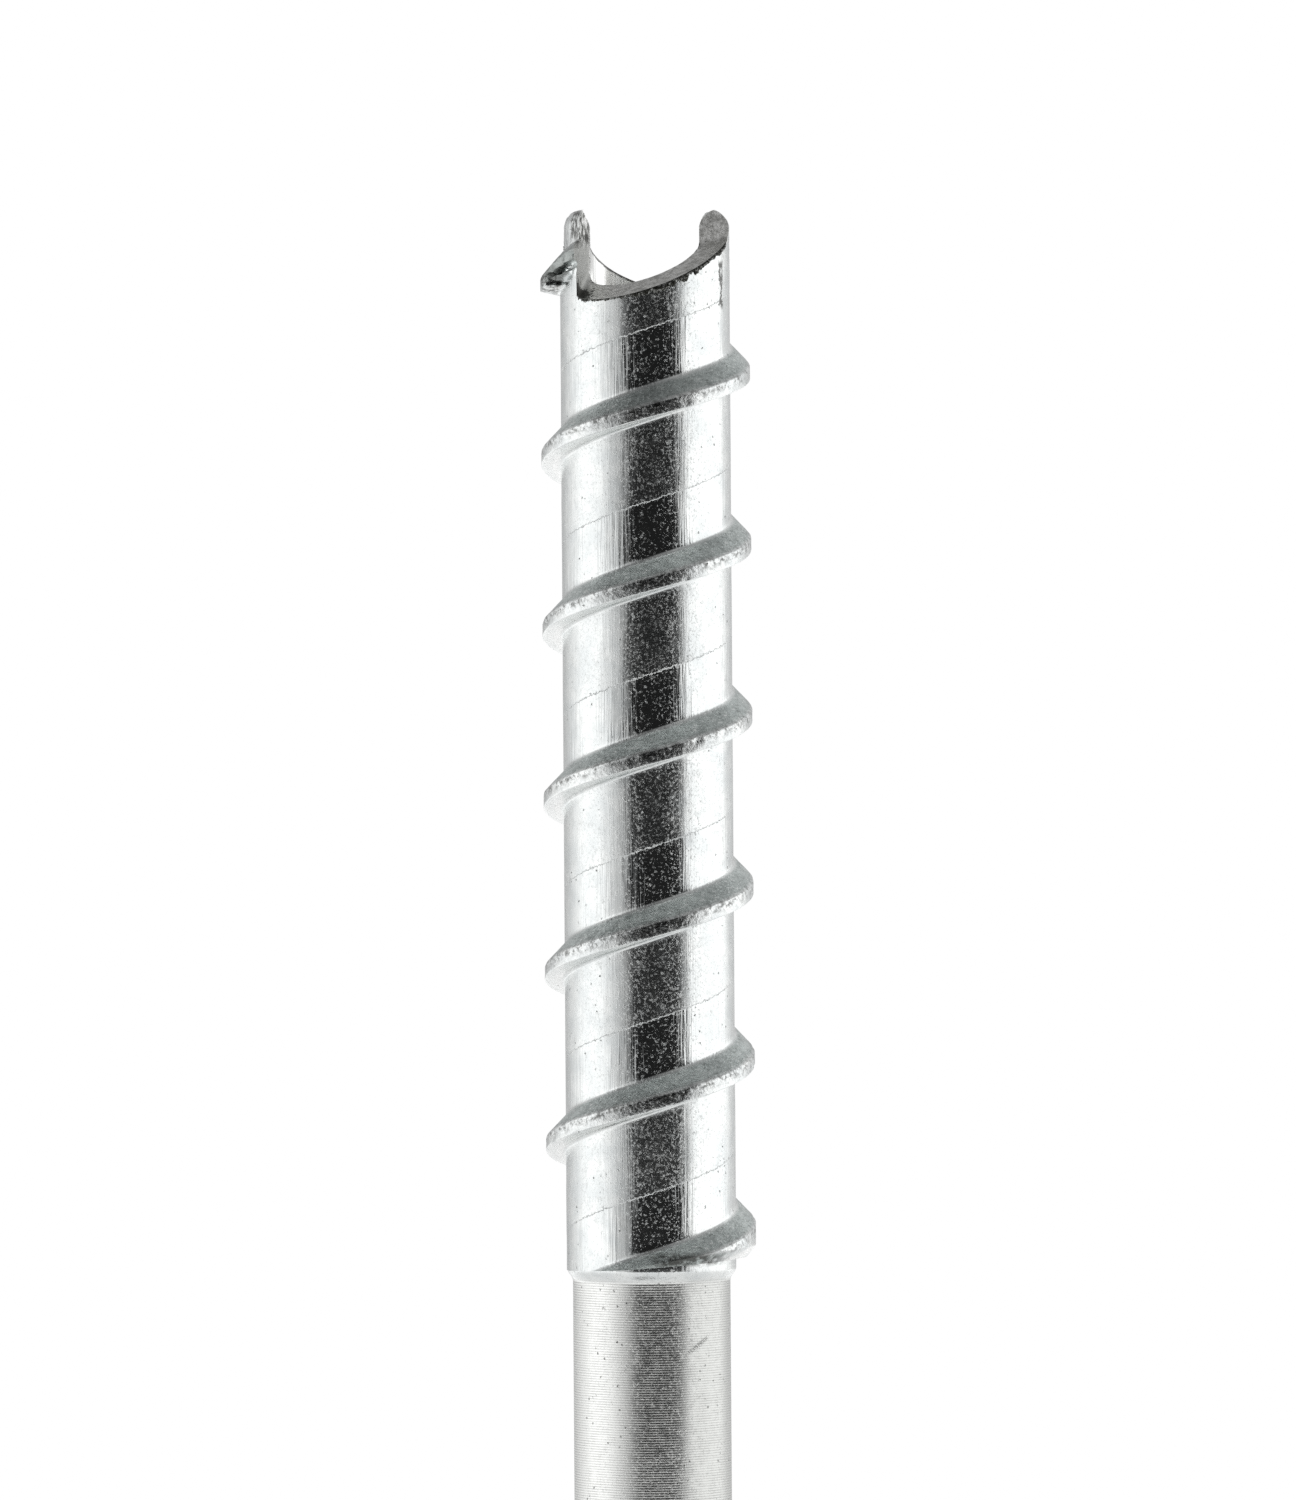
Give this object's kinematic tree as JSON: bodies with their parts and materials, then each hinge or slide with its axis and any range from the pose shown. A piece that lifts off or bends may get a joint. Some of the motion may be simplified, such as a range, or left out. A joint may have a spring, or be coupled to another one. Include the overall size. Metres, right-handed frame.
{
  "type": "ice screw",
  "caption": "Tubular ice screw: toothed, coarse-threaded tube with a bent hanger plate and a folding crank with a turning knob.",
  "frame": {"origin": "on the tube's axis, in the plane of the hanger's ice side", "axes": "+Z along the tube towards the teeth, +X towards the carabiner eye's wing, +Y towards the folded knob"},
  "size_m": [0.0746, 0.0608, 0.2045],
  "materials": {
    "plated_steel": "bright zinc plate, worn, with turning marks",
    "stainless": "tumbled stainless plate",
    "collar_steel": "machined hexagon, plated",
    "rivet_steel": "turned and burnished steel",
    "bronze": "sintered bearing bronze",
    "knob_plastic": "moulded nylon, fine grain",
    "cap_plastic": "moulded nylon, coloured"
  },
  "bodies": {
    "screw": {"tube": "plated_steel", "hanger": "stainless", "hex_collar": "collar_steel", "pivot_rivet": "rivet_steel", "pivot_washer": "bronze", "spring_washer": "rivet_steel", "stop_pin": "rivet_steel"},
    "crank": {"crank_arm": "stainless", "knob_stud": "rivet_steel", "knob_washer": "bronze", "clip_washer": "rivet_steel", "knob_clip": "rivet_steel"},
    "knob": {"knob": "knob_plastic", "knob_sleeve": "bronze", "knob_cap": "cap_plastic"}
  },
  "joints": [
    {"name": "crank_fold", "type": "hinge", "parent": "screw", "child": "crank", "pos_m": [-0.02, 0, -0.005], "axis": [0, 0, 1], "range_deg": [0, 147.5]},
    {"name": "knob_spin", "type": "hinge", "parent": "crank", "child": "knob", "pos_m": [0.00845, 0.01813, -0.0176], "axis": [0, 0, 1], "continuous": true}
  ]
}
